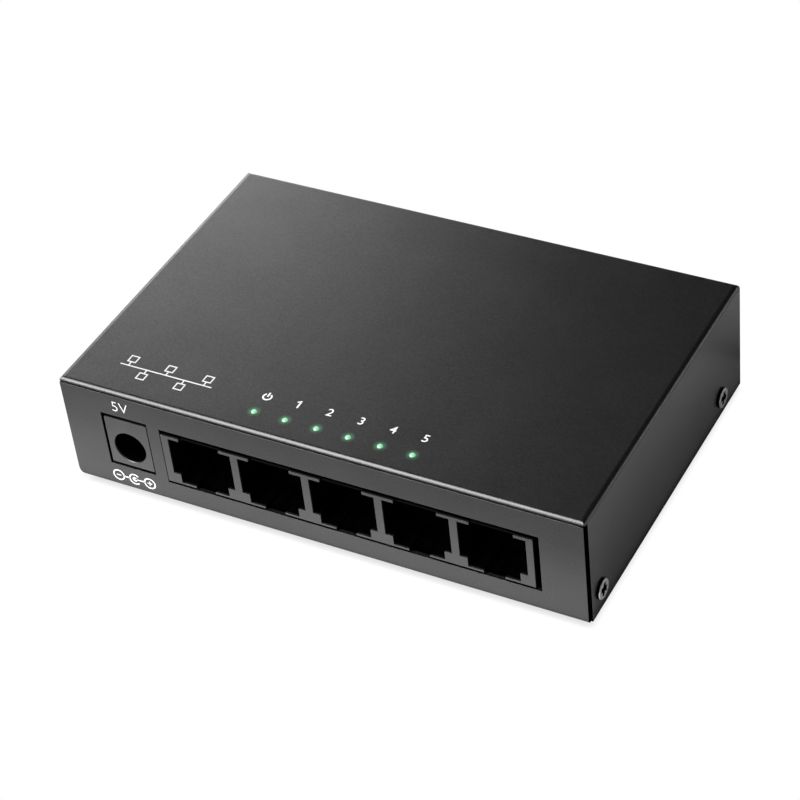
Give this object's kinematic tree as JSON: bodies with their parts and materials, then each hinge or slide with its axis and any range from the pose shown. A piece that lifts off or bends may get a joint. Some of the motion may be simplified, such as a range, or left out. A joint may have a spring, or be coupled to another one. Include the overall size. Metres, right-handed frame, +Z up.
{
  "type": "desktop network switch",
  "caption": "Compact desktop Ethernet switch in a folded steel case, with a row of RJ45 sockets and a barrel power inlet on the front and status lamps on top.",
  "frame": {"origin": "on the desk under the middle of the case, level with the underside of the rubber feet", "axes": "+X to the right seen from the front, +Y from the front panel to the rear, +Z up"},
  "size_m": [0.1006, 0.0654, 0.0237],
  "materials": {
    "case_coat": "fine-grain matt black powder coat",
    "black_steel": "black zinc plating, satin",
    "foot_rubber": "matt",
    "plated_steel": "zinc plated",
    "solder_mask": "black solder mask",
    "socket_plastic": "fine spark-eroded texture",
    "inlet_plastic": "satin moulding",
    "gold_plate": "gold flash over nickel",
    "nickel_plate": "nickel plated",
    "tinned_lead": "bright tin",
    "clear_pipe": "clear, lit green at its tips",
    "lamp_resin": "cast resin",
    "chip_resin": "moulded epoxy",
    "ferrite": "sintered",
    "can_aluminium": "bright drawn can",
    "capacitor_ceramic": "fired ceramic",
    "resistor_ceramic": "glazed film on ceramic"
  },
  "bodies": {
    "case": {"base_tray": "case_coat", "top_cover": "case_coat", "cover_screws": "black_steel", "rubber_feet": "foot_rubber", "pcb_standoffs": "plated_steel", "pcb_screws": "plated_steel", "circuit_board": "solder_mask", "rj45_housing": "socket_plastic", "rj45_fixed_leads": "gold_plate", "dc_jack_housing": "inlet_plastic", "dc_jack_pin": "nickel_plate", "dc_jack_terminals": "nickel_plate", "light_pipe": "clear_pipe", "status_leds": "lamp_resin", "switch_chip": "chip_resin", "switch_chip_leads": "tinned_lead", "transformers": "chip_resin", "transformer_leads": "tinned_lead", "crystal": "plated_steel", "power_inductor": "ferrite", "voltage_regulator": "chip_resin", "regulator_leads": "tinned_lead", "electrolytic_cans": "can_aluminium", "electrolytic_bases": "inlet_plastic", "ceramic_capacitors": "capacitor_ceramic", "chip_resistors": "resistor_ceramic", "protection_diode": "chip_resin"},
    "port_1_contacts": {"port_1_springs": "gold_plate"},
    "port_2_contacts": {"port_2_springs": "gold_plate"},
    "port_3_contacts": {"port_3_springs": "gold_plate"},
    "port_4_contacts": {"port_4_springs": "gold_plate"},
    "port_5_contacts": {"port_5_springs": "gold_plate"},
    "inlet_leaf": {"dc_jack_spring": "nickel_plate"}
  },
  "joints": [
    {"name": "port_1_contact_flex", "type": "hinge", "parent": "case", "child": "port_1_contacts", "pos_m": [-0.0225, -0.03015, 0.0156], "axis": [1, 0, 0], "range_deg": [0, 12]},
    {"name": "port_2_contact_flex", "type": "hinge", "parent": "case", "child": "port_2_contacts", "pos_m": [-0.00867, -0.03015, 0.0156], "axis": [1, 0, 0], "range_deg": [0, 12]},
    {"name": "port_3_contact_flex", "type": "hinge", "parent": "case", "child": "port_3_contacts", "pos_m": [0.00516, -0.03015, 0.0156], "axis": [1, 0, 0], "range_deg": [0, 12]},
    {"name": "port_4_contact_flex", "type": "hinge", "parent": "case", "child": "port_4_contacts", "pos_m": [0.01899, -0.03015, 0.0156], "axis": [1, 0, 0], "range_deg": [0, 12]},
    {"name": "port_5_contact_flex", "type": "hinge", "parent": "case", "child": "port_5_contacts", "pos_m": [0.03282, -0.03015, 0.0156], "axis": [1, 0, 0], "range_deg": [0, 12]},
    {"name": "inlet_leaf_flex", "type": "hinge", "parent": "case", "child": "inlet_leaf", "pos_m": [-0.03495, -0.02415, 0.01388], "axis": [-0.766, 0, 0.6428], "range_deg": [0, 3.5]}
  ]
}
